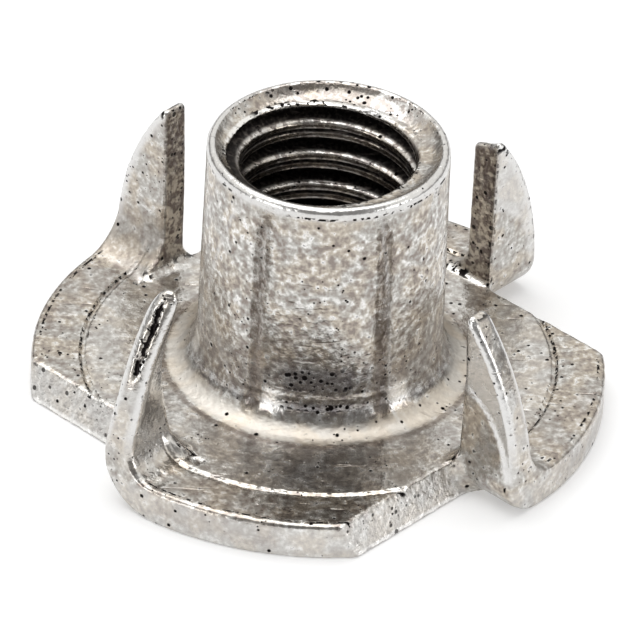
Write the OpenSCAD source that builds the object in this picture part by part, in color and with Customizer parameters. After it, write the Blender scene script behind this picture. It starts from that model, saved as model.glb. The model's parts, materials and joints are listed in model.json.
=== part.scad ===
// Four-prong tee nut, stamped from one piece of sheet steel.
// Z is the axis of the bore, Z = 0 is the underside of the flange, and the barrel points up.
// The blank is a round disc. Its middle is drawn up into the barrel, and four straight slits near
// the edge free four strips, which are folded up to make the prongs.

/* [Flange] */
// Diameter of the round flange
flange_d = 22.2; // [21:0.1:26]
// Thickness of the sheet
sheet_t = 1.5; // [1.2:0.05:1.8]
// Radius that shearing rolls on the upper edge of the flange
edge_roll_r = 0.35; // [0.1:0.05:0.6]
// Diameter of the ring pressed into the top of the flange
ring_d = 18.2; // [14:0.1:19.4]
// Width of the pressed ring
ring_w = 0.3; // [0.1:0.02:0.5]
// Depth of the pressed ring
ring_depth = 0.07; // [0.02:0.01:0.15]

/* [Barrel] */
// Height of the rim above the top of the flange
barrel_h = 9.8; // [6:0.1:14]
// Outside diameter just below the rim
barrel_top_d = 9.26; // [8.8:0.02:9.8]
// Outside diameter at the foot
barrel_foot_d = 9.58; // [9.2:0.02:10.4]
// Radius of the fillet between the barrel and the flange
foot_fillet_r = 1.2; // [0.4:0.05:1.8]
// Radius of the outer edge of the rim
rim_round_r = 0.25; // [0.1:0.05:0.3]
// Width of the shallow grooves down the barrel
groove_w = 0.46; // [0.2:0.02:0.8]
// Depth of the grooves
groove_depth = 0.07; // [0.03:0.01:0.15]
// Distance from the rim down to the start of the grooves
groove_start = 0.9; // [0.5:0.1:3]

/* [Bore] */
// Diameter of the bore, over the crests of the thread
bore_d = 6.6; // [5.5:0.05:7.2]
// Depth of the thread, from its crests to its roots
thread_depth = 0.65; // [0.3:0.05:0.7]
// Distance from one turn of the thread to the next
thread_pitch = 1.411; // [1.25:0.001:1.8]
// Diameter of the countersink at the rim
countersink_d = 8.6; // [7.4:0.05:8.65]
// Depth of the countersink
countersink_depth = 0.34; // [0.1:0.02:0.8]
// Radius from the underside of the flange into the bore
entry_r = 1.1; // [0.4:0.05:1.3]

/* [Prongs] */
// Distance from the axis to the upper edge of the slits
slit_dist = 8.2; // [7.9:0.05:8.8]
// How much further out the lower edge of a slit lies
slit_slant = 0.44; // [0:0.02:0.5]
// Gap that the cut leaves between the flange and a prong
slit_gap = 0.1; // [0.05:0.01:0.2]
// Direction of the first slit, measured to the line square to it
prong_angle = 48; // [0:1:89]
// Thickness of the prongs
prong_t = 1.15; // [0.8:0.05:1.3]
// Radius of the tips, and so half their width
tip_r = 0.4; // [0.3:0.05:0.6]
// Distance past the slit's square line at which the fold starts
fold_start = 1.4; // [1:0.05:2]
// Inside radius of the fold
fold_in_r = 1.25; // [0.8:0.05:1.6]
// Outside radius of the fold
fold_out_r = 1.7; // [0.8:0.05:1.9]

/* [Hidden] */
$fn = 96;
PRONGS = 4;
GROOVES = 6;
TIP_SIDES = 8;
// Straight sides in one turn of the thread, and the direction in which a root passes Z = 0
THREAD_SIDES = 24;
THREAD_START = -36;
// The press leaves each prong a little blunter or sharper, and nearer to or further from its lobe
UNEVEN_TIP = [-0.1, -0.2, 0.05, 0.1];
UNEVEN_FOLD = [-0.25, 0, 0.35, 0];
flange_r = flange_d / 2;
bore_r = bore_d / 2;
foot_r = barrel_foot_d / 2;
top_r = barrel_top_d / 2;
rim_z = sheet_t + barrel_h;
// How far back the folded blade stands from the start of its fold
fold_back = fold_in_r + prong_t;
// Share of a prong's thickness, from the inside of the fold, that keeps its length in bending
NEUTRAL = 0.4;
// Length of strip that the fold takes up
fold_length = PI / 2 * (fold_in_r + NEUTRAL * prong_t);
// How far a form laps into the next one, so that no two faces fall together
lap = 0.1;
// How far a cut runs past the surface that it cuts
over = 1;

// A flat disc of the sheet, with its upper edge rolled over
module disc() {
    rotate_extrude() {
        square([flange_r - edge_roll_r, sheet_t]);
        square([flange_r, sheet_t - edge_roll_r]);
        translate([flange_r - edge_roll_r, sheet_t - edge_roll_r]) circle(edge_roll_r);
    }
}

// The cut that frees a strip: everything past the slit, up to the root of the fold. The sheared wall
// leans out towards its lower edge, and is upright beside the fold.
module slit(fold) {
    lean = slit_slant / sheet_t;
    difference() {
        translate([slit_dist, -flange_d, -over])
            cube([flange_d, flange_d + fold - lap, sheet_t + 2 * over]);
        translate([0, fold - fold_back - slit_gap, 0]) rotate([90, 0, 0]) linear_extrude(flange_d)
            polygon([
                [slit_dist - over, sheet_t + lean * over],
                [slit_dist, sheet_t],
                [slit_dist + lean * (sheet_t + over), -over],
                [slit_dist - over, -over],
            ]);
    }
}

// Section of a prong across its thickness: the fold, from the flange at X = 0, and the blade
module prong_section() {
    difference() {
        union() {
            translate([fold_out_r - fold_back, fold_out_r]) circle(fold_out_r);
            translate([fold_out_r - fold_back, 0]) square([fold_back - fold_out_r, fold_out_r]);
            translate([-fold_back, fold_out_r]) square([fold_back, flange_r]);
        }
        translate([0, sheet_t + fold_in_r]) circle(fold_in_r);
        translate([-fold_in_r, sheet_t + fold_in_r]) square([fold_in_r + over, flange_r]);
        translate([0, -over]) square(2 * flange_r);
    }
}

// Outline of a prong seen square to its blade: the strip that the slit frees from the disc, with its
// tip rounded, stood on edge. The fold takes up a part of the strip's length.
module prong_outline(r, fold) {
    inner = slit_dist + slit_gap;
    middle = [0, sheet_t + fold_in_r + fold - fold_length];
    tip = [inner + r, middle.y + sqrt(pow(flange_r - r, 2) - pow(inner + r, 2))];
    arc_end = atan2(tip.y - middle.y, tip.x);
    side = (180 - arc_end) / TIP_SIDES;
    round_tip = [for (i = [0 : TIP_SIDES]) tip + r * [cos(arc_end + i * side), sin(arc_end + i * side)]];
    // the first side of the tip runs out past the rim of the disc
    past_rim = 2 * round_tip[0] - round_tip[1];
    intersection() {
        translate(middle) circle(flange_r);
        polygon(concat(
            [[inner, 0], [flange_d, 0], 2 * tip - middle, past_rim],
            [for (i = [1 : TIP_SIDES]) round_tip[i]]
        ));
    }
}

// A prong as folded up: the section of the fold, cut to the outline of the strip
module prong(r, fold) {
    intersection() {
        translate([0, fold, 0]) rotate([90, 0, 90]) linear_extrude(flange_d) prong_section();
        translate([0, flange_r, 0]) rotate([90, 0, 0]) linear_extrude(flange_d) prong_outline(r, fold);
    }
}

module flange() {
    difference() {
        disc();
        for (i = [0 : PRONGS - 1]) rotate(prong_angle + i * 360 / PRONGS)
            slit(fold_start + UNEVEN_FOLD[i]);
        // pressed ring
        ring_r = (pow(ring_w / 2, 2) + pow(ring_depth, 2)) / (2 * ring_depth);
        rotate_extrude() translate([ring_d / 2, sheet_t + ring_r - ring_depth]) circle(ring_r);
    }
}

// Half section of the barrel without its bore: the fillet at the foot, a slightly tapered wall and
// the round edge of the rim
module barrel_section() {
    fillet = [foot_r + foot_fillet_r, sheet_t + foot_fillet_r];
    rounding = [top_r - rim_round_r, rim_z - rim_round_r];
    difference() {
        square(fillet);
        translate(fillet) circle(foot_fillet_r);
    }
    polygon([[0, 0], [foot_r, 0], [foot_r, fillet.y], [top_r, rounding.y], [0, rounding.y]]);
    square([rounding.x, rim_z]);
    translate(rounding) circle(rim_round_r);
}

module barrel() {
    groove_angle = groove_w / foot_r * 180 / PI;
    difference() {
        rotate_extrude() barrel_section();
        for (i = [0 : GROOVES - 1]) rotate(i * 360 / GROOVES)
            rotate_extrude(angle = groove_angle, start = -groove_angle / 2) difference() {
                translate([bore_r, sheet_t]) square([foot_r + foot_fillet_r, barrel_h - groove_start]);
                translate([-groove_depth, 0]) barrel_section();
            }
    }
}

// The bore, its countersink at the rim and the rounded way in from below
module bore() {
    translate([0, 0, -over]) cylinder(h = rim_z + 2 * over, d = bore_d);
    translate([0, 0, rim_z - countersink_depth])
        cylinder(h = countersink_depth, d1 = bore_d, d2 = countersink_d);
    rotate_extrude() difference() {
        translate([0, -over]) square([bore_r + entry_r, over + entry_r]);
        translate([bore_r + entry_r, entry_r]) circle(entry_r);
    }
}

// The groove of the thread: a trapezoid with 60 degree flanks, swept up a right-hand helix from below
// the flange to above the rim. Its mouth lies a little inside the bore.
module thread_groove() {
    mouth_r = bore_r - lap;
    root_r = bore_r + thread_depth;
    half_root = thread_pitch / 16;
    half_mouth = half_root + (root_r - mouth_r) * tan(30);
    section = [[mouth_r, -half_mouth], [root_r, -half_root], [root_r, half_root], [mouth_r, half_mouth]];
    corners = len(section);
    steps = ceil((rim_z / thread_pitch + 2) * THREAD_SIDES);
    first_end = [for (i = [corners - 1 : -1 : 0]) i];
    last_end = [for (i = [0 : corners - 1]) steps * corners + i];
    rotate(THREAD_START) polyhedron(
        points = [
            for (step = [0 : steps], corner = section)
                let (turn = 360 * step / THREAD_SIDES)
                [corner.x * cos(turn), corner.x * sin(turn), corner.y + (turn / 360 - 1) * thread_pitch]
        ],
        faces = [
            first_end,
            for (step = [0 : steps - 1], i = [0 : corners - 1])
                let (this = step * corners + i, beside = step * corners + (i + 1) % corners)
                each [[this, beside + corners, this + corners], [this, beside, beside + corners]],
            last_end
        ]
    );
}

module tee_nut() {
    color([0.66, 0.64, 0.61]) {
        difference() {
            union() {
                flange();
                barrel();
            }
            bore();
            thread_groove();
        }
        for (i = [0 : PRONGS - 1]) rotate(prong_angle + i * 360 / PRONGS)
            prong(tip_r + UNEVEN_TIP[i], fold_start + UNEVEN_FOLD[i]);
    }
}

tee_nut();
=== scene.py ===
# %% [markdown]
# # A tee nut, stamped from one piece of sheet
#
# A tee nut gives wood a machine thread. A press makes it from one round blank of steel: it draws
# the middle up into a barrel, cuts four slits near the edge, folds the freed strips up into
# prongs, and a tap presses the thread into the bore. The nuts are then tumbled in a drum, which
# rounds every edge and leaves a dull, scuffed, slightly pitted skin.
#
# The CAD model holds that shape with crisp edges, even prongs and a plain V thread. This script
# dresses it: the same form with its worn edges, its uneven prongs and the seam along the thread,
# and the skin of the steel.

# %% Load the frame
import json
import math
from types import SimpleNamespace

import bpy
from mathutils import Matrix, Vector


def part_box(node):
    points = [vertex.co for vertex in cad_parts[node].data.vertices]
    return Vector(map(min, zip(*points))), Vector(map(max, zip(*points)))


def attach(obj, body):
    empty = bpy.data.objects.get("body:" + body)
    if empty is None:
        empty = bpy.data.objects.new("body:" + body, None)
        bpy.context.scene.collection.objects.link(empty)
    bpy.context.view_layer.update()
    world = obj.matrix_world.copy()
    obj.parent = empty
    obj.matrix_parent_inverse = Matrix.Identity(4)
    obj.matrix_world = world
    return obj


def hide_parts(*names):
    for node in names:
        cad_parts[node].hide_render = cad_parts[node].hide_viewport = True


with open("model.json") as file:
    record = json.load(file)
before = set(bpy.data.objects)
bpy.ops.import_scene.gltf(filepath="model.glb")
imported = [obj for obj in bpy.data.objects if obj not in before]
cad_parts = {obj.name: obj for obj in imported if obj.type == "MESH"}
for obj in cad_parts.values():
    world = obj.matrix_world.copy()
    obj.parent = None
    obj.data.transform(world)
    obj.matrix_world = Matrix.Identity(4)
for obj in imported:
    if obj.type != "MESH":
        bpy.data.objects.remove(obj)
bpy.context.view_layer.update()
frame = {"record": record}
low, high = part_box("tee_nut")
print("CAD box in mm:", [round(size * 1000, 2) for size in high - low])

# %% [markdown]
# ## Sizes
#
# All sizes are in millimetres, and the finished mesh is brought to metres at the very end. What
# the frame says is read from it: the flange, the height and the bore. The rest are the press
# tool's own sizes. The dictionary becomes the named inputs of the Geometry Nodes tree below, so
# that each size can be changed in the modifier panel too.
#
# No two prongs of a cheap stamping are quite alike: the fold of each starts a little early or
# late, and each blade is bowed, twisted or blunted in its own way. Four values for each of these
# are kept together here, so that one formula can make all four prongs.

# %% Sizes of the nut
MM = 0.001
thread_mount = next(m for m in frame["record"]["mounts"] if m["kind"] == "threaded_hole")
SIZES = {
    "flange_r": (high.x - low.x) / 2 / MM,
    "rim_z": (high.z - low.z) / MM,
    "crest_r": thread_mount["dims"]["r_mm"],
    "sheet_t": 1.5,
    "flange_roll": 0.36,
    "sheared_roll": 0.1,
    "ring_r": 9.1,
    "ring_w": 0.24,
    "ring_depth": 0.09,
    "barrel_top_r": 4.63,
    "barrel_foot_r": 4.79,
    "foot_fillet": 1.2,
    "rim_round": 0.28,
    "groove_w": 0.7,
    "groove_depth": 0.03,
    "countersink_r": 4.34,
    "countersink_depth": 0.48,
    "entry_round": 1.1,
    "pitch": 1.411,
    "thread_depth": 0.65,
    "slit_x": 8.24,
    "slit_slant": 0.5,
    "slit_gap": 0.06,
    "fold_start": 1.4,
}
FIRST_PRONG = math.radians(48)
THREAD_START = math.radians(-36)
GROOVES = 6
# The press leaves the four prongs uneven. Counted from the first, turning to the left:
PRONG_T = (1.3, 1.15, 1.25, 1.15)
TIP_R = (0.45, 0.35, 0.5, 0.5)
FOLD_SHIFT = (-0.2, 0.2, 0.35, -0.08)
FOLD_IN_R = (1.2, 1.5, 1.25, 1.25)
FOLD_OUT_R = (1.7, 1.6, 2.4, 1.5)
ROOT_FILLET = (0.4, 0.6, 0.85, 0.7)
# how much longer a blade is, how much further out it stands and how much rounder its corners are
LONGER = (0.0, 0.18, 0.05, -0.15)
STANDS_OUT = (0.0, 0.0, 0.1, 0.0)
ROUNDER = (0.0, 0.0, 0.38, 0.15)
# how strongly it is bowed, twisted and bevelled at its tip, and how high its raised field is
BOW = (0.0, 0.005, 0.03, -0.009)
TWIST = (0.0, 0.0, -0.45, 0.0)
BEVEL = (0.45, 0.0, 0.0, 0.0)
RAISED = (0.0, 0.0, 0.0, 0.08)
# how torn its tip is, and how much painted sheen lightens it outside and inside
HOLLOW_TIP = (0.0, 0.0, 1.0, 0.0)
SHEEN_OUTSIDE = (0.6, 0.2, 0.2, 1.0)
SHEEN_INSIDE = (0.0, 0.0, 1.0, 0.0)
print(len(SIZES), "sizes; flange radius", round(SIZES["flange_r"], 2), "mm")

# %% [markdown]
# ## Writing node trees as arithmetic
#
# A formula for a shape or for a finish takes dozens of small Math nodes, and wiring each by hand
# hides what they say. This class wraps one output socket. Adding, multiplying or comparing such
# wires adds the Math node for it, so that a formula in the script reads as a formula. It serves
# the shape's tree and the material's tree alike.


# %% One class for all the node trees
class Wire:
    """An output socket. Arithmetic with it adds Math nodes to its tree."""

    def __init__(self, tree, socket=None):
        self.tree = tree
        self.socket = socket

    def node(self, kind, settings=None, sockets=None, output=0):
        """Adds a node, with its settings first and then the values or links of its sockets."""
        made = self.tree.nodes.new(kind)
        for name, value in (settings or {}).items():
            setattr(made, name, value)
        for name, value in (sockets or {}).items():
            if isinstance(value, Wire):
                self.tree.links.new(value.socket, made.inputs[name])
            else:
                made.inputs[name].default_value = value
        return Wire(self.tree, made.outputs[output])

    def math(self, operation, *values):
        return self.node("ShaderNodeMath", {"operation": operation}, dict(enumerate(values)))

    def vector(self, operation, *values, output=0, **sockets):
        return self.node("ShaderNodeVectorMath", {"operation": operation},
                         {**dict(enumerate(values)), **sockets}, output)

    def __add__(self, other):
        return self.math("ADD", self, other)

    def __radd__(self, other):
        return self.math("ADD", other, self)

    def __sub__(self, other):
        return self.math("SUBTRACT", self, other)

    def __rsub__(self, other):
        return self.math("SUBTRACT", other, self)

    def __mul__(self, other):
        return self.math("MULTIPLY", self, other)

    def __rmul__(self, other):
        return self.math("MULTIPLY", other, self)

    def __truediv__(self, other):
        return self.math("DIVIDE", self, other)

    def __lt__(self, other):
        return self.math("LESS_THAN", self, other)

    def __gt__(self, other):
        return self.math("GREATER_THAN", self, other)

    def __neg__(self):
        return self.math("MULTIPLY", self, -1)

    def __abs__(self):
        return self.math("ABSOLUTE", self)

    def max(self, other):
        return self.math("MAXIMUM", self, other)

    def min(self, other):
        return self.math("MINIMUM", self, other)

    def between(self, floor, ceiling):
        return self.max(floor).min(ceiling)

    def soft_max(self, other, width):
        return self.math("SMOOTH_MAX", self, other, width)

    def sqrt(self):
        return self.math("SQRT", self)

    def sin(self):
        return self.math("SINE", self)

    def cos(self):
        return self.math("COSINE", self)


print("Wires ready")

# %% [markdown]
# ## The form as a distance
#
# Worn, rounded edges are hard to bevel onto a mesh full of cuts, folds and a thread. They are easy
# with a signed distance: a formula that gives, for any point, how far it lies outside (more than
# 0) or inside (less than 0) the metal. A cut is the larger of two distances, a join the smaller,
# and a rounded edge is a softer kind of larger. So the nut is one formula here, and the mesh is
# the surface where it is zero.


# %% Ramps, bands, noise and rounded corners
def step(value, low, high):
    """0 below low, 1 above high and a smooth ramp between."""
    return value.node("ShaderNodeMapRange", {"interpolation_type": "SMOOTHSTEP"},
                      {"Value": value, "From Min": low, "From Max": high})


def ramp(value, steepness=1):
    """0 below 0, and from there straight up to 1."""
    return (value * steepness).between(0, 1)


def band(value, middle, half_width):
    """1 at the middle of a narrow band, fading to 0 at its sides."""
    return step(1 - abs(value - middle) / half_width, 0, 0.6)


def noise(where, scale, detail=2.0, roughness=0.5):
    """Soft, cloudy noise from 0 to 1, with about so many clouds to a millimetre."""
    return where.node("ShaderNodeTexNoise", sockets={
        "Vector": where, "Scale": scale, "Detail": detail, "Roughness": roughness}, output="Fac")


def rounded(a, b, radius):
    """Inside both: the larger distance, with the edge rounded to a true radius."""
    a, b = a + radius, b + radius
    return (a.max(0) * a.max(0) + b.max(0) * b.max(0)).sqrt() + a.max(b).min(0) - radius


def filleted(a, b, radius):
    """Inside either: the smaller distance, with the inner corner filled to a true radius."""
    return -rounded(-a, -b, radius)


print("Corners ready")

# %% [markdown]
# ### Barrel and thread
#
# The barrel is a ring with a slight taper, six faint grooves left by the drawing tool, a fillet at
# its foot, a slight step just above that and a rounded rim. The thread is pressed in and not cut:
# metal flows up from the roots towards the crests, where the two lips don't quite meet. That is
# why each crest is split by a narrow seam.


# %% Distance of the barrel's outside
SECTOR = 2 * math.pi / GROOVES
GROOVE_START = 0.9
GROOVE_FADE = 0.8
FOOT_STEP_Z = 2.95
FOOT_STEP_RISE = 0.12
FOOT_STEP = 0.035


def from_groove(r, turn):
    """How far round the barrel the nearest groove is, to the right when it is more than 0."""
    sectors = turn / SECTOR
    return (sectors - sectors.math("ROUND", sectors)) * r * SECTOR


def barrel_outside(s, r, turn, z):
    """A tapered wall with its grooves, the step above its foot and a rounded rim."""
    along = (s.rim_z - z) / (s.rim_z - s.sheet_t)
    wall = s.barrel_top_r + (s.barrel_foot_r - s.barrel_top_r) * along.between(0, 1)
    groove = (1 - abs(from_groove(r, turn)) / (s.groove_w / 2)).max(0)
    fade = ((s.rim_z - z - GROOVE_START) / GROOVE_FADE).between(0, 1)
    wall = wall - groove * groove * (3 - groove * 2) * s.groove_depth * fade
    wall = wall + ((FOOT_STEP_Z - z) / FOOT_STEP_RISE).between(0, 1) * FOOT_STEP
    return rounded(r - wall, z - s.rim_z, s.rim_round)


# %% Distance of the threaded bore
LIP = 0.2
LIP_ROUND = 0.14
FLANK_START = 1.5 * LIP
FLANK = math.tan(math.radians(60))
DISH_ROLL = 0.08
ENTRY_ROLL = 0.1
# a steep face is nearer than it looks square to the axis or along it, by about these shares
THREAD_STEEP = 0.6
DISH_STEEP = 0.7


def from_crest(turn, z, pitch):
    """How far up or down the bore the middle of the nearest crest is."""
    turns = z / pitch - (turn - THREAD_START) / (2 * math.pi)
    return abs(turns.math("FRACT", turns) - 0.5) * pitch


def bore_inside(s, r, turn, z):
    """The thread, the dish at the rim and the rounded way in from below."""
    away = from_crest(turn, z, s.pitch)
    lip = (away - LIP) / LIP
    profile = (lip * lip * LIP_ROUND).max((away - FLANK_START) * FLANK).min(s.thread_depth)
    thread = (s.crest_r + profile - r) * THREAD_STEEP
    entry = rounded(-z, s.crest_r - r, s.entry_round)
    out = ((r - s.crest_r) / (s.countersink_r - s.crest_r)).max(0)
    dish = (z - s.rim_z + (1 - out * out * out) * s.countersink_depth) * DISH_STEEP
    return thread.soft_max(dish, DISH_ROLL).soft_max(entry, ENTRY_ROLL)


print("Barrel ready")

# %% [markdown]
# ### Flange, slits and prongs
#
# The four prongs are alike but for small unevenness, so one formula serves them all: the angle
# round the axis is folded into the quarter round the nearest prong. In that quarter X points
# square to the slit, and the strip lies along Y.
#
# A strip keeps its outline as it is folded. So the outline is worked out as if the strip were
# still flat: `flat_y` follows the sheet back round the fold, and the round rim of the blank is
# then a plain circle in X and `flat_y`. Bowing or twisting a blade only moves the place where the
# formula is read, so the outline and the thickness go with it.
#
# What the press and the tumbling did to single prongs is added to the same distances: a bevelled
# tip, a raised field low on the outside of one, and a tip that was torn hollow along its edge.
# `q` gathers what is known about a point in its quarter, and each step adds to it.


# %% A point as seen from the nearest prong
QUARTER = math.pi / 2


def by_prong(index, values):
    """One of four values, by the number of the prong."""
    switch = index.tree.nodes.new("GeometryNodeIndexSwitch")
    switch.data_type = "FLOAT"
    while len(switch.index_switch_items) < len(values):
        switch.index_switch_items.new()
    index.tree.links.new(index.socket, switch.inputs["Index"])
    for number, value in enumerate(values):
        switch.inputs[str(number)].default_value = value
    return Wire(index.tree, switch.outputs[0])


def from_nearest_prong(s, r, turn, z, tear):
    """Where a point is in its quarter, and the sizes of the prong there."""
    quarters = (turn - FIRST_PRONG) / QUARTER
    quarter = quarters.math("ROUND", quarters)
    index = quarter.math("FLOORED_MODULO", quarter, 4)
    angle = turn - FIRST_PRONG - quarter * QUARTER
    return SimpleNamespace(
        index=index, r=r, x=r * angle.cos(), y=r * angle.sin(), z=z, tear=tear,
        fold=s.fold_start + by_prong(index, FOLD_SHIFT),
        fold_in_r=by_prong(index, FOLD_IN_R),
        thickness=by_prong(index, PRONG_T))


# %% Distance of the flange
SLIT_TEAR = 0.08


def flange_distance(s, q):
    """A round disc with a rolled upper edge, less the slits."""
    across_ring = (q.r - s.ring_r) / (s.ring_w / 2)
    q.top = q.z - s.sheet_t + (1 - across_ring * across_ring).max(0) * s.ring_depth
    disc = (q.r - s.flange_r).soft_max(q.top, s.flange_roll).soft_max(-q.z, s.sheared_roll)
    # a torn, uneven wall that leans out towards the bottom
    lean = s.slit_slant * (1 - q.z / s.sheet_t).between(0, 1)
    q.wall = s.slit_x + lean - q.tear * SLIT_TEAR
    slit = (q.x - q.wall).min(q.fold - q.y)
    return disc.soft_max(slit, s.sheared_roll)


# %% A folded sheet, seen along X
BLADE_MIDDLE = 2
TWIST_HEIGHT = 4
FIELD_WIDTH = 2.75
FIELD_Z = 0.6
FIELD_HEIGHT = 4.6
FIELD_EDGE = 12


def lean_the_blade(s, q):
    """Moves the place where the formula is read, so that the blade bows and twists."""
    q.rise = (q.z - s.sheet_t - q.fold_in_r).max(0)
    middle_x = s.slit_x + BLADE_MIDDLE
    middle_y = q.fold - q.fold_in_r - q.thickness / 2
    twist = by_prong(q.index, TWIST) * ((q.z - s.sheet_t) / TWIST_HEIGHT).between(0, 1)
    q.blade_x = q.x - (q.y - middle_y) * twist
    q.blade_y = q.y + (q.x - middle_x) * twist - q.rise * q.rise * by_prong(q.index, BOW)


def fold_the_sheet(s, q):
    """The outer and the inner face, each with its rounded corner."""
    # on the last prong the punch has left a raised field low on the outside
    across = (q.x - s.slit_x) / FIELD_WIDTH
    up = (q.z - FIELD_Z) / FIELD_HEIGHT
    q.field = ramp(1 - (across * across + up * up).sqrt(), FIELD_EDGE)
    raised = q.field * by_prong(q.index, RAISED)
    inside = q.fold - q.fold_in_r
    outside = inside - q.thickness - raised
    q.outer = rounded(outside - q.blade_y, -q.z, by_prong(q.index, FOLD_OUT_R))
    q.inner = rounded(inside - q.blade_y, -q.top, q.fold_in_r)


# %% The outline of a strip, as if it were still flat
NEUTRAL = 0.4
LONGER_ABOVE = 2
BEVEL_Z = 7
TORN_FROM = 5.2
TORN_TO = 8.3
TORN_HALF_WIDTH = 0.17
TORN_DEPTH = 0.14
TORN_WANDER = 0.6
TORN_FADE_IN = 0.8
TORN_FADE_OUT = 0.3
EDGE_TEAR = 0.05


def torn_hollow(q):
    """1 along the middle of the edge of the torn tip."""
    off_middle = q.blade_y - q.fold + q.fold_in_r + q.thickness / 2
    across = abs(off_middle + (q.tear - 0.5) * TORN_WANDER) / TORN_HALF_WIDTH
    from_below = ((q.z - TORN_FROM) / TORN_FADE_IN).between(0, 1)
    from_above = ((TORN_TO - q.z) / TORN_FADE_OUT).between(0, 1)
    along = from_below * from_above
    return (1 - across * across).max(0) * along * by_prong(q.index, HOLLOW_TIP)


def strip_outline(s, q):
    """The blank's round rim and the strip's cut edge, with a round tip between them."""
    back = q.fold - q.blade_y
    bend = back.math("ARCTAN2", back, s.sheet_t + q.fold_in_r - q.z).between(0, math.pi / 2)
    taken_up = bend * (q.fold_in_r + q.thickness * NEUTRAL)
    flat_y = q.fold + (-back).max(0) - taken_up - q.rise
    flat_y = flat_y + by_prong(q.index, LONGER) * (q.rise / LONGER_ABOVE).between(0, 1)
    rim = (q.blade_x * q.blade_x + flat_y * flat_y).sqrt() - s.flange_r

    # the first tip is bevelled on the inside of its fold
    q.from_outside = q.thickness - back + q.fold_in_r
    rim = rim + q.from_outside * by_prong(q.index, BEVEL) * (q.z - BEVEL_Z).between(0, 1)

    q.torn = torn_hollow(q)
    q.rim = rim + q.torn * TORN_DEPTH
    stands_out = by_prong(q.index, STANDS_OUT)
    q.edge = s.slit_x + s.slit_gap + stands_out - q.blade_x + q.tear * EDGE_TEAR
    return rounded(q.rim, q.edge, by_prong(q.index, TIP_R))


# %% Distance of flange and prongs
INNER_ROLL = 0.2
OUTER_ROLL = 0.14
ROUNDER_ABOVE = 3


def flange_and_prongs(s, q):
    """The sheet, with each prong filleted into the flange at its root."""
    flange = flange_distance(s, q)
    lean_the_blade(s, q)
    fold_the_sheet(s, q)
    outline = strip_outline(s, q)
    rounder = ((q.z - s.sheet_t) / ROUNDER_ABOVE).between(0, 1) * by_prong(q.index, ROUNDER)
    prong = rounded(outline, -q.inner, INNER_ROLL + rounder)
    prong = prong.max(rounded(outline, q.outer, OUTER_ROLL + rounder))
    fillet = by_prong(q.index, ROOT_FILLET)
    return filleted(flange, prong, ((q.fold - q.y) / fillet).between(0, 1) * fillet)


# %% Where the metal was cut, torn or bent, and where sheen is painted
# how far from its face a measure fades out
SKIN = 0.12
TORN_SKIN = 0.1
FOLD_SKIN = 0.2


def near(face, reach=SKIN):
    """1 on a face, fading to 0 at a small distance from it."""
    return (1 - abs(face) / reach).max(0)


def cut_and_bent(s, q):
    """Slit wall, prong edge, torn tip and inside of the folds: each a number from 0 to 1."""
    above = q.z - s.sheet_t
    before_fold = q.fold - q.y
    slit_wall = near(q.x - q.wall) * ramp(before_fold, 10) * ramp(s.sheet_t - q.z, 10)
    prong_edge = near(q.edge) * ramp(above, 4)
    torn = q.torn * near(q.rim, TORN_SKIN)
    # the prong with a painted sheen inside is not darkened in its fold
    no_inside_sheen = 1 - by_prong(q.index, SHEEN_INSIDE)
    inside_fold = near(q.inner, FOLD_SKIN) * band(q.z, s.sheet_t + 0.9, 1.6) * no_inside_sheen
    inside_fold = inside_fold * ramp(before_fold, 4) * ramp(q.x - s.slit_x, 4)
    return slit_wall, prong_edge, torn, inside_fold


def rubbed_bright(s, q):
    """Painted sheen on the prongs: lighter outsides, one lighter inside and sheared arcs with painted
    highlights.
    """
    above = q.z - s.sheet_t
    # not the raised field itself, but the edge round it
    round_field = (1 - q.field).max(q.field * (1 - q.field) * 6)
    outside = near(q.outer) * round_field * ramp(q.z - 1.4, 2) * by_prong(q.index, SHEEN_OUTSIDE)
    inside = near(q.inner) * ramp(above) * by_prong(q.index, SHEEN_INSIDE)
    # painted highlights: a sheared arc is bright along both corners, and greyer between them
    off_middle = abs(q.from_outside / q.thickness * 2 - 1)
    arc = step(q.rim, -0.5, -0.2) * (above / 2).between(0, 1)
    return outside.max(inside).max(arc * (0.3 + 0.7 * step(off_middle, 0.3, 0.7)))


print("Flange and prongs ready")


# %% [markdown]
# ### The whole nut as one group of nodes
#
# The barrel and the sheet are joined with the fillet at the foot, and the bore is taken out of
# both. A slow noise of a few hundredths of a millimetre dents every face a little, since no
# pressed face is truly flat. The group also passes on the measures that the steel needs: where
# the metal was cut, torn or bent, and where the prongs get a painted sheen.


# %% Distance and measures of the whole nut
DENTS = 0.03
BORE_ROLL = 0.1
MEASURES = ("Slit wall", "Prong edge", "Painted sheen", "Torn", "Inside fold")


def round_the_axis(point):
    """A point's distance from the axis, its angle round it and its height."""
    parts = point.node("ShaderNodeSeparateXYZ", sockets={0: point}).socket.node.outputs
    x, y, z = (Wire(point.tree, part) for part in parts)
    return (x * x + y * y).sqrt(), x.math("ARCTAN2", y, x), z


def label(name):
    """The name of a size as the modifier panel shows it."""
    return name.replace("_", " ").capitalize()


def size_inputs(tree):
    """The tree's named inputs, one for each size, as wires."""
    inputs = tree.nodes.new("NodeGroupInput")
    wires = {name: Wire(tree, inputs.outputs[label(name)]) for name in SIZES}
    return inputs, SimpleNamespace(**wires)


def add_size_sockets(tree):
    """Gives a tree one input for each size, set to that size."""
    for name, value in SIZES.items():
        socket = tree.interface.new_socket(label(name), in_out="INPUT", socket_type="NodeSocketFloat")
        socket.default_value = value


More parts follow.
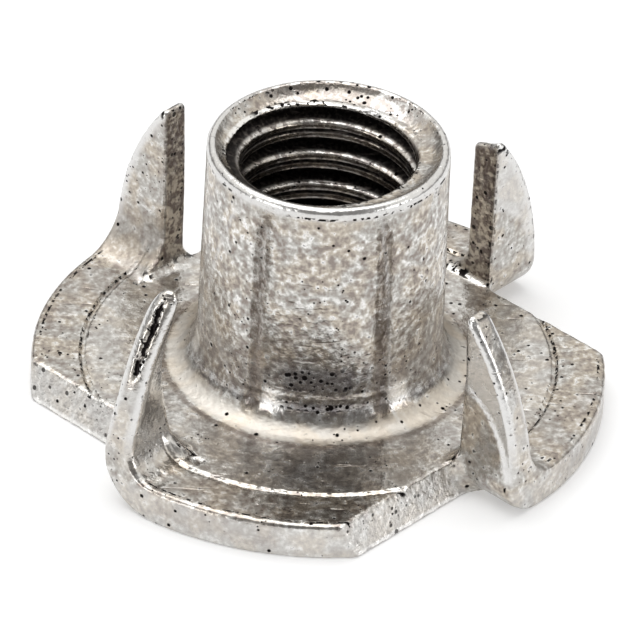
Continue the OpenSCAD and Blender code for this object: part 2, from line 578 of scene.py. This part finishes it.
def distance_group():
    """A group that takes a point and gives its distance and its measures."""
    tree = bpy.data.node_groups.new("distance from the nut", "GeometryNodeTree")
    tree.interface.new_socket("Point", in_out="INPUT", socket_type="NodeSocketVector")
    add_size_sockets(tree)
    for name in ("Distance", *MEASURES):
        tree.interface.new_socket(name, in_out="OUTPUT", socket_type="NodeSocketFloat")
    inputs, s = size_inputs(tree)
    point = Wire(tree, inputs.outputs["Point"])
    r, turn, z = round_the_axis(point)
    tear = noise(point, 2.6, 3.0)
    dents = noise(point, 0.7, 2.0)
    q = from_nearest_prong(s, r, turn, z, tear)
    sheet = flange_and_prongs(s, q)
    slit_wall, prong_edge, torn, inside_fold = cut_and_bent(s, q)
    measures = (slit_wall, prong_edge, rubbed_bright(s, q), torn, inside_fold)
    body = filleted(barrel_outside(s, r, turn, z), sheet, s.foot_fillet) + dents * DENTS
    body = body.soft_max(-z, s.sheared_roll)
    nut = body.soft_max(bore_inside(s, r, turn, z), BORE_ROLL)
    outputs = tree.nodes.new("NodeGroupOutput")
    for name, wire in zip(("Distance", *MEASURES), (nut, *measures)):
        tree.links.new(wire.socket, outputs.inputs[name])
    print("Distance group has", len(tree.nodes), "nodes")
    return tree


distance_tree = distance_group()

# %% [markdown]
# ## From distance to mesh
#
# A Volume Cube samples the formula on a fine grid and Volume to Mesh lays a skin where it is zero.
# That skin is just as fine on the flats as on the thread. A Decimate modifier thins it where it is
# flat, and a second tree finishes it: each point is pushed along its normal by the distance that is
# left, twice over, so that it lies on the true surface.
#
# The second tree also measures the skin for the material. A point is on a worn edge where the
# formula falls more slowly inwards than it rises outwards, and in a hollow where it is the other
# way round.

# %% The trees that make and finish the nut
VOXEL = 0.1
MARGIN = 0.35
PROBE = 0.22
PUSHES = 2
KEPT_SHARE = 0.5


def add_tree(name, takes_mesh):
    """A new tree with its named inputs: a first wire, the inputs' node and the sizes."""
    tree = bpy.data.node_groups.new(name, "GeometryNodeTree")
    if takes_mesh:
        tree.interface.new_socket("Geometry", in_out="INPUT", socket_type="NodeSocketGeometry")
    add_size_sockets(tree)
    tree.interface.new_socket("Geometry", in_out="OUTPUT", socket_type="NodeSocketGeometry")
    inputs, s = size_inputs(tree)
    return Wire(tree), inputs, s


def measure(wire, inputs, point):
    """The distance group at a point, as a node whose outputs can be read by name."""
    made = wire.tree.nodes.new("GeometryNodeGroup")
    made.node_tree = distance_tree
    wire.tree.links.new(point.socket, made.inputs["Point"])
    for name in SIZES:
        wire.tree.links.new(inputs.outputs[label(name)], made.inputs[label(name)])
    return {output.name: Wire(wire.tree, output) for output in made.outputs}


def send_out(wire):
    """Makes a wire the tree's result."""
    outputs = wire.tree.nodes.new("NodeGroupOutput")
    wire.tree.links.new(wire.socket, outputs.inputs["Geometry"])
    return wire.tree


def skin_tree():
    """Lays a fine, even skin where the distance is zero."""
    wire, inputs, s = add_tree("tee nut skin", takes_mesh=False)
    position = wire.node("GeometryNodeInputPosition")
    reach = s.flange_r + MARGIN
    lowest = wire.node("ShaderNodeCombineXYZ", sockets={"X": -reach, "Y": -reach, "Z": -MARGIN})
    highest = wire.node("ShaderNodeCombineXYZ", sockets={"X": reach, "Y": reach, "Z": s.rim_z + MARGIN})
    wide = reach * 2 / VOXEL
    tall = (s.rim_z + 2 * MARGIN) / VOXEL
    volume = wire.node("GeometryNodeVolumeCube", sockets={
        "Density": -measure(wire, inputs, position)["Distance"], "Background": -1.0,
        "Min": lowest, "Max": highest, "Resolution X": wide, "Resolution Y": wide, "Resolution Z": tall})
    skin = wire.node("GeometryNodeVolumeToMesh", {"resolution_mode": "GRID"},
                     {"Volume": volume, "Threshold": 0.0, "Adaptivity": 0.0})
    return send_out(skin)


def finish_tree(material):
    """Pushes the thinned skin onto the true surface, measures it and brings it to metres."""
    wire, inputs, s = add_tree("tee nut finish", takes_mesh=True)
    position = wire.node("GeometryNodeInputPosition")
    normal = wire.node("GeometryNodeInputNormal")
    skin = Wire(wire.tree, inputs.outputs["Geometry"])
    here = measure(wire, inputs, position)
    for _ in range(PUSHES):
        push = wire.vector("SCALE", normal, Scale=-here["Distance"])
        skin = wire.node("GeometryNodeSetPosition", sockets={"Geometry": skin, "Offset": push})

    outside = measure(wire, inputs, wire.vector("ADD", position, wire.vector("SCALE", normal, Scale=PROBE)))
    inside = measure(wire, inputs, wire.vector("ADD", position, wire.vector("SCALE", normal, Scale=-PROBE)))
    bend = (outside["Distance"] + inside["Distance"]) / PROBE
    for name, value in (("Worn", bend), ("Hollow", -bend), *((name, here[name]) for name in MEASURES)):
        skin = wire.node("GeometryNodeStoreNamedAttribute", {"data_type": "FLOAT", "domain": "POINT"},
                         {"Geometry": skin, "Name": name, "Value": value.between(0, 1)})

    skin = wire.node("GeometryNodeTransform", sockets={"Geometry": skin, "Scale": (MM, MM, MM)})
    skin = wire.node("GeometryNodeSetShadeSmooth", sockets={"Geometry": skin})
    skin = wire.node("GeometryNodeRealizeInstances", sockets={"Geometry": skin})
    skin = wire.node("GeometryNodeSetMaterial", sockets={"Geometry": skin, "Material": material})
    return send_out(skin)


print("Trees ready, grid of", VOXEL, "mm")

# %% [markdown]
# ## Steel
#
# The skin of a tumbled stamping is one metal with many small marks. All of them are worked out from
# Object coordinates in millimetres, so a size in the material is a size on the nut:
#
# - a mottle of lighter and darker grains, where the tumbling stones hit and missed;
# - dark pits, closest together low on the front of the barrel, and short scratches;
# - broken dark lines along some edges, and painted dark lines in the pressed ring and under the rim;
# - bright edges, worn by the stones and painted brighter still as a highlight;
# - painted shade in hollows, grooves, folds and thread roots, and a painted dark lower barrel;
# - a painted sheen on the prongs, the flange top and the foot, and painted highlights by the grooves;
# - torn, brownish metal on the inner edges of the prongs, and paler torn metal on the slits' walls.
#
# The measures that the finish tree stored on the mesh say where the edges, hollows and cuts are.


# %% Marks on the steel
def pits(where, spacing, radius, share):
    """Round pits, in a given share of cells of a given size: 1 in a pit."""
    cells = where.node("ShaderNodeTexVoronoi", sockets={"Vector": where, "Scale": 1 / spacing})
    cell_colour = Wire(where.tree, cells.socket.node.outputs["Color"])
    chosen = where.node("ShaderNodeSeparateColor", sockets={"Color": cell_colour})
    size = radius / spacing * (0.6 + 0.6 * Wire(where.tree, chosen.socket.node.outputs["Green"]))
    return step(size - cells, 0, 0.06) * (chosen < share)


def scratches(where, turn, spacing, width):
    """Short lines in one direction: noise drawn out along it, cut at its crests."""
    drawn_out = {"Vector": where, "Rotation": turn, "Scale": (0.16, 1, 1)}
    turned = where.node("ShaderNodeMapping", sockets=drawn_out)
    return step(noise(turned, 1 / spacing, 1.0), 1 - width, 1 - width * 0.6)


def mix(factor, a, b):
    """A colour between two others."""
    mixer = factor.tree.nodes.new("ShaderNodeMix")
    mixer.data_type = "RGBA"
    for number, value in ((0, factor), (6, a), (7, b)):
        if isinstance(value, Wire):
            factor.tree.links.new(value.socket, mixer.inputs[number])
        else:
            mixer.inputs[number].default_value = value
    return Wire(factor.tree, mixer.outputs[2])


print("Marks ready")

# %% Colours of the steel
DARK = (0.29, 0.25, 0.225, 1)
WARM = (0.54, 0.485, 0.41, 1)
COOL = (0.5, 0.485, 0.455, 1)
LIGHT = (0.77, 0.765, 0.755, 1)
TAN = (0.74, 0.69, 0.62, 1)
BRIGHT = (0.93, 0.92, 0.9, 1)
BLUISH = (0.3, 0.29, 0.31, 1)
BROWN = (0.13, 0.1, 0.09, 1)
BLACK = (0.012, 0.01, 0.01, 1)
print("Colours ready")


# %% Places on the steel
def steel_places(place):
    """Where on the nut a point lies, by heights and radii in mm: each a number from 0 to 1."""
    r, turn, z = round_the_axis(place)
    below_rim = SIZES["rim_z"] - z
    groove = from_groove(r, turn)
    on_barrel = (r > 4.45) * (1 - step(r, 5.5, 5.7)) * step(z, 1.9, 2.2) * step(below_rim, 0.7, 1.4)
    front = on_barrel * band(turn, -QUARTER, 0.7)
    in_bore = (r < 4.2) * step(below_rim, 0.5, 0.62)
    away = from_crest(turn, z, SIZES["pitch"])
    top = step(z, 1.1, 1.3) * (1 - step(z, 1.5, 1.6))
    return {
        # the fillet at the foot, the barrel above it and its grooves
        "foot": step(r, 5.0, 5.3) * (1 - step(r, 5.75, 5.95)) * band(z, 1.8, 0.8),
        "band": on_barrel * (1 - step(z, 2.7, 3.1)),
        "low": on_barrel * (1 - step(z, 3.2, 5.0)) * step(z, 2.8, 3.0),
        "cluster": front * step(abs(groove), 0.9, 1.3) * band(z, 3.6, 0.8).max(band(z, 2.45, 0.25)),
        "groove": on_barrel * (1 - step(abs(groove), 0.05, 0.38)) * (1 - step(z, 4.0, 9.0) * 0.5),
        # painted highlights beside each groove, low on the barrel
        "painted glint": on_barrel * band(groove, 0.85, 0.6) * band(z, 2.6, 0.6),
        "grainy": on_barrel.max(top * step(r, 5.9, 6.2) * 0.5),
        # the rim with its dish, and the bore
        "rim": (r > 4.3) * (1 - step(below_rim, 0.35, 0.6)),
        "dish": (r > 3.6) * (r < 4.4) * (below_rim < 0.5) * band(turn, 1.4, 1.3),
        "rim line": band(below_rim, 0.42, 0.06) * (r > 4.4),
        "bore": in_bore,
        # thread roots and crest seams, painted black as shade
        "root": in_bore * step(away, 0.36, 0.46).max(1 - step(away, 0.05, 0.11)),
        # the top and the side of the flange, and the prongs
        "foot edge": band(r, 6.05, 0.16) * top,
        # painted light: the flange top beyond the foot, made a little lighter in the colour
        "field": top * step(r, 6.0, 6.3) * (1 - step(r, 8.8, 9.1)),
        "ring": band(r, SIZES["ring_r"] + 0.1, 0.06).max(band(r, 10.8, 0.06)) * top,
        "upper": step(z, 0.8, 1.0),
        "side": step(r, 10.9, 11.02) * (1 - step(z, 1.2, 1.5)),
        "prong": step(r, 7.0, 7.5) * step(z, 2.0, 2.5),
    }


# %% Colour of the steel
def steel_colour(place, at, grain, worn, hollow, slit_wall, prong_edge, painted_sheen):
    """The metal itself, polished or dull by where it lies and by how it was worn, with painted light and
    shade.
    """
    # the mottle: warm and cool metal, darker and brighter by the grain
    fine = noise(place, 7.0, 1.0)
    broad = noise(place, 0.6, 1.0)
    tone = (grain - 0.5) * (3.0 + 2.4 * at["grainy"]) + (fine - 0.5) * 1.4 + (broad - 0.5) * 0.5
    tone = (tone - 0.14) * (1 - at["foot"] * 0.6)
    metal = mix(step(noise(place, 0.9, 1.0), 0.4, 0.6), WARM, COOL)
    colour = mix((-tone).between(0, 1), metal, DARK)
    colour = mix(tone.between(0, 1), colour, BRIGHT)

    # polished places, with the painted sheen on the prongs; then darker ones
    polished = (at["rim"] * 0.8).max(at["side"] * 0.35).max(painted_sheen * 0.9).max(slit_wall * 0.5)
    # painted light: the flange top a little lighter
    polished = polished.max(at["field"] * 0.25)
    colour = mix(polished, colour, LIGHT)
    # painted reflection: the fillet at the foot lighter and warmer, standing in for the light from above
    # that it reflects
    colour = mix(at["foot"] * 0.35, colour, TAN)
    # painted shade: hollows and the barrel's grooves darker
    colour = mix((step(hollow, 0.1, 0.8) * 0.7).max(at["groove"] * 0.7), colour, DARK)
    # painted reflection: the lower barrel darker and bluish, darker still in the band above the foot and
    # where the pits cluster
    colour = mix((at["low"] * 0.3).max(at["band"] * 0.25).max(at["cluster"] * 0.6), colour, BLUISH)
    # painted shade: a dark line where the foot meets the flange top
    colour = mix(at["foot edge"] * 0.6, colour, DARK)
    colour = mix(at["dish"] * step(grain, 0.42, 0.56) * 0.8, colour, DARK)

    # painted highlights beside the grooves, edges worn bright, and brown torn ones
    colour = mix(at["painted glint"] * 0.9, colour, BRIGHT)
    # edges worn bright by the tumbling, and painted brighter still as a highlight
    colour = mix(step(worn, 0.3, 0.8) * 0.9, colour, BRIGHT)
    colour = mix(prong_edge * 0.9, colour, mix(step(tone, -0.4, 0.3), BROWN, WARM))

    # the bore brown in patches, with its thread roots and the seams in its crests painted black as shade
    colour = mix(at["bore"] * step(grain, 0.48, 0.56) * 0.75, colour, BROWN)
    deep = at["root"] * (0.85 + 0.14 * step(fine, 0.3, 0.6))
    return mix(deep, colour, BLACK)


# %% Pits, lines and scratches
def steel_marks(place, at, worn, cut):
    """Black pits, broken black lines, mostly painted shade, and scratches."""
    patchy = noise(place, 0.55, 1.0)
    large = pits(place, spacing=0.6, radius=0.085, share=0.85)
    small = pits(place, spacing=0.24, radius=0.045, share=0.9)
    small = small * step(patchy, 0.56, 0.62).max(at["low"] * 0.8)
    in_dish = pits(place, spacing=0.28, radius=0.09, share=0.7) * at["dish"]
    cluster = pits(place, spacing=0.25, radius=0.11, share=0.85) * at["cluster"]
    on_cuts = pits(place, spacing=0.32, radius=0.1, share=0.35) * cut * step(patchy, 0.44, 0.5)
    small = small.max(in_dish).max(cluster).max(on_cuts)

    # lines that break off now and then: painted shade in the pressed ring and at the rolled edge, a painted
    # dark reflection under the rim, and dashes on worn edges
    broken = step(noise(place, 4.5, 1.0), 0.5, 0.56) * step(noise(place, 0.4, 1.0), 0.36, 0.46)
    lines = at["ring"].max(at["rim line"]) * broken
    here_and_there = step(noise(place, 0.5, 1.0), 0.4, 0.5)
    dashes = step(noise(place, 4.2, 1.0), 0.53, 0.57) * here_and_there.max(at["prong"])
    lines = lines.max(step(worn, 0.15, 0.4) * dashes * (1 - at["bore"]) * at["upper"])
    one_way = scratches(place, turn=(0.3, 0.5, 0.4), spacing=0.3, width=0.34)
    other_way = scratches(place, turn=(1.2, 0.9, 2.1), spacing=0.3, width=0.34)
    return large.max(small).max(lines), one_way.max(other_way)


# %% The steel
BUMP_MM = 0.05


def make_steel():
    """The whole metal: its colour, how rough it is and its fine relief."""
    material = bpy.data.materials.new("steel")
    material.use_nodes = True
    tree = material.node_tree
    shader = tree.nodes["Principled BSDF"]
    wire = Wire(tree)
    worn, hollow, slit_wall, prong_edge, painted_sheen, torn, inside_fold = (
        wire.node("ShaderNodeAttribute", {"attribute_name": name}, output="Fac")
        for name in ("Worn", "Hollow", *MEASURES))

    coordinates = wire.node("ShaderNodeTexCoord", output="Object")
    place = wire.vector("SCALE", coordinates, Scale=1 / MM)
    at = steel_places(place)
    grain = noise(place, 3.6)
    colour = steel_colour(place, at, grain, worn, hollow, slit_wall, prong_edge, painted_sheen)
    # painted shade: the inside of each fold a little darker
    colour = mix(inside_fold * 0.25, colour, DARK)
    pitted, scratched = steel_marks(place, at, worn, prong_edge.max(slit_wall * 0.9))
    colour = mix(scratched * 0.35, colour, DARK)
    colour = mix(pitted.max(step(torn + (grain - 0.5) * 2, 0.35, 0.6)), colour, BLACK)

    rough = 0.24 + (grain - 0.5) * 0.2 + (slit_wall + prong_edge) * 0.15 - worn * 0.08
    rough = rough + pitted * 0.4 + at["root"] * 0.3 + at["foot"] * 0.2 + step(hollow, 0.1, 0.8) * 0.2
    rough = (rough + inside_fold * 0.25).between(0.16, 0.9)
    height = grain * 0.5 - pitted * 1.2 - scratched * 0.2
    height = height + (slit_wall + prong_edge) * noise(place, 4.0, 3.0) * 2.0
    bump = wire.node("ShaderNodeBump", sockets={
        "Height": height, "Strength": 1.0, "Distance": BUMP_MM * MM})

    shader.inputs["Metallic"].default_value = 1.0
    tree.links.new(colour.socket, shader.inputs["Base Color"])
    tree.links.new(rough.socket, shader.inputs["Roughness"])
    tree.links.new(bump.socket, shader.inputs["Normal"])
    print("Steel has", len(tree.nodes), "nodes")
    return material


steel = make_steel()

# %% [markdown]
# ## One plain mesh
#
# An object with the three modifiers makes the nut. A copy of what they make is kept as a plain
# mesh, and the maker is thrown away, so that nothing has to be worked out again later. The nut
# stands in for the CAD part and rides on it.

# %% Make the nut
maker = bpy.data.objects.new("maker", bpy.data.meshes.new("maker"))
bpy.context.scene.collection.objects.link(maker)
maker.modifiers.new("skin", "NODES").node_group = skin_tree()
maker.modifiers.new("thinner", "DECIMATE").ratio = KEPT_SHARE
maker.modifiers.new("finish", "NODES").node_group = finish_tree(steel)
bpy.context.view_layer.update()
mesh = bpy.data.meshes.new_from_object(maker.evaluated_get(bpy.context.evaluated_depsgraph_get()))
nut = bpy.data.objects.new("nut", mesh)
bpy.context.scene.collection.objects.link(nut)
bpy.data.objects.remove(maker)
mesh.calc_loop_triangles()
print("The nut has", len(mesh.vertices), "points and", len(mesh.loop_triangles), "triangles")

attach(nut, "root")
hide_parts("tee_nut")

# %% [markdown]
# ## Camera
#
# A small part is best seen with a long lens from well away: its upright sides stay nearly
# parallel, and the round flange shows as a plain ellipse.

# %% Camera
LENS = 382.7
ELEVATION = math.radians(35.28)
DISTANCE = 0.26
ROLL = math.radians(2.79)
AIM = Vector((-0.18, 1.59, 2.25)) * MM
camera_data = bpy.data.cameras.new("camera")
camera_data.lens = LENS
camera_data.sensor_width = 36
camera = bpy.data.objects.new("camera", camera_data)
bpy.context.scene.collection.objects.link(camera)
camera.location = Vector((0, -math.cos(ELEVATION), math.sin(ELEVATION))) * DISTANCE
look = (camera.location - AIM).to_track_quat("Z", "Y").to_matrix()
camera.rotation_euler = (look @ Matrix.Rotation(ROLL, 3, "Z")).to_euler()
bpy.context.scene.camera = camera
print("Camera", DISTANCE, "m away")

# %% [markdown]
# ## Floor, room and light
#
# The nut stands on a white floor, under one large soft lamp and between two small low ones. Bare
# metal is only as bright as what it reflects. So the room that it reflects has pale walls and a
# pale ceiling, but is dark low down and in a patch high up in front: the dark parts draw the form
# of the barrel and the flange, and the two low lamps light a patch beside the grooves, where the
# steel has a painted highlight too. Looked at straight, the room is plain white.

# %% Floor and room
WHITE = (1, 1, 1, 1)
NO_GLOW = (0, 0, 0, 1)
FLOOR = (0.82, 0.82, 0.82, 1)
FLOOR_GLOW = (0.3, 0.3, 0.3, 1)
ROOM_LIGHT = (0.4, 0.4, 0.4, 1)
WALLS = (1, 0.99, 0.965, 1)
DARK_PARTS = (0.25, 0.245, 0.24, 1)
TO_FRONT = (0.1, -0.8, 0.6)


def room_is_seen(wire):
    """1 for the rays that look at the room straight, in a reflection or through glass."""
    path = wire.node("ShaderNodeLightPath", output="Is Camera Ray")
    glossy = Wire(wire.tree, path.socket.node.outputs["Is Glossy Ray"])
    through = Wire(wire.tree, path.socket.node.outputs["Is Transmission Ray"])
    return path.max(glossy).max(through)


def make_floor():
    """A white floor that keeps the nut's shadow."""
    bpy.ops.mesh.primitive_plane_add(size=2)
    floor = bpy.context.object
    floor.name = "floor"
    material = bpy.data.materials.new("floor")
    material.use_nodes = True
    shader = material.node_tree.nodes["Principled BSDF"]
    shader.inputs["Base Color"].default_value = FLOOR
    shader.inputs["Roughness"].default_value = 1.0
    shader.inputs["Specular IOR Level"].default_value = 0.0
    seen = room_is_seen(Wire(material.node_tree))
    glow = mix(seen, NO_GLOW, FLOOR_GLOW)
    material.node_tree.links.new(glow.socket, shader.inputs["Emission Color"])
    shader.inputs["Emission Strength"].default_value = 1.0
    floor.data.materials.append(material)


def make_room():
    """Pale walls with dark parts in reflections, and plain white when looked at straight."""
    world = bpy.data.worlds.new("room")
    bpy.context.scene.world = world
    world.use_nodes = True
    tree = world.node_tree
    wire = Wire(tree)
    direction = wire.node("ShaderNodeTexCoord", output="Generated")
    height = wire.node("ShaderNodeSeparateXYZ", sockets={0: direction}, output="Z")
    to_front = wire.vector("DOT_PRODUCT", direction, TO_FRONT, output="Value")
    dark = (1 - step(height, 0.15, 0.4)).max(step(to_front, 0.55, 0.85))
    walls = mix(dark, WALLS, DARK_PARTS)
    path = wire.node("ShaderNodeLightPath", output="Is Camera Ray")
    reflected_or_white = mix(path, walls, WHITE)
    colour = mix(room_is_seen(wire), ROOM_LIGHT, reflected_or_white)
    tree.links.new(colour.socket, tree.nodes["Background"].inputs["Color"])


def add_lamp(name, place, size, power):
    """A square lamp that faces the nut."""
    lamp = bpy.data.objects.new(name, bpy.data.lights.new(name, "AREA"))
    lamp.data.energy = power
    lamp.data.size = size
    lamp.location = place
    lamp.rotation_euler = Vector(place).to_track_quat("Z", "Y").to_euler()
    bpy.context.scene.collection.objects.link(lamp)


make_floor()
make_room()
add_lamp("key lamp", (-0.08, 0.05, 0.55), 0.6, 2.2)
add_lamp("left lamp", (-0.45, -0.42, 0.16), 0.26, 0.6)
add_lamp("right lamp", (0.55, -0.28, 0.16), 0.26, 0.6)
bpy.context.scene.view_settings.view_transform = "Standard"
print("Room ready, with", len(bpy.data.lights), "lamps")
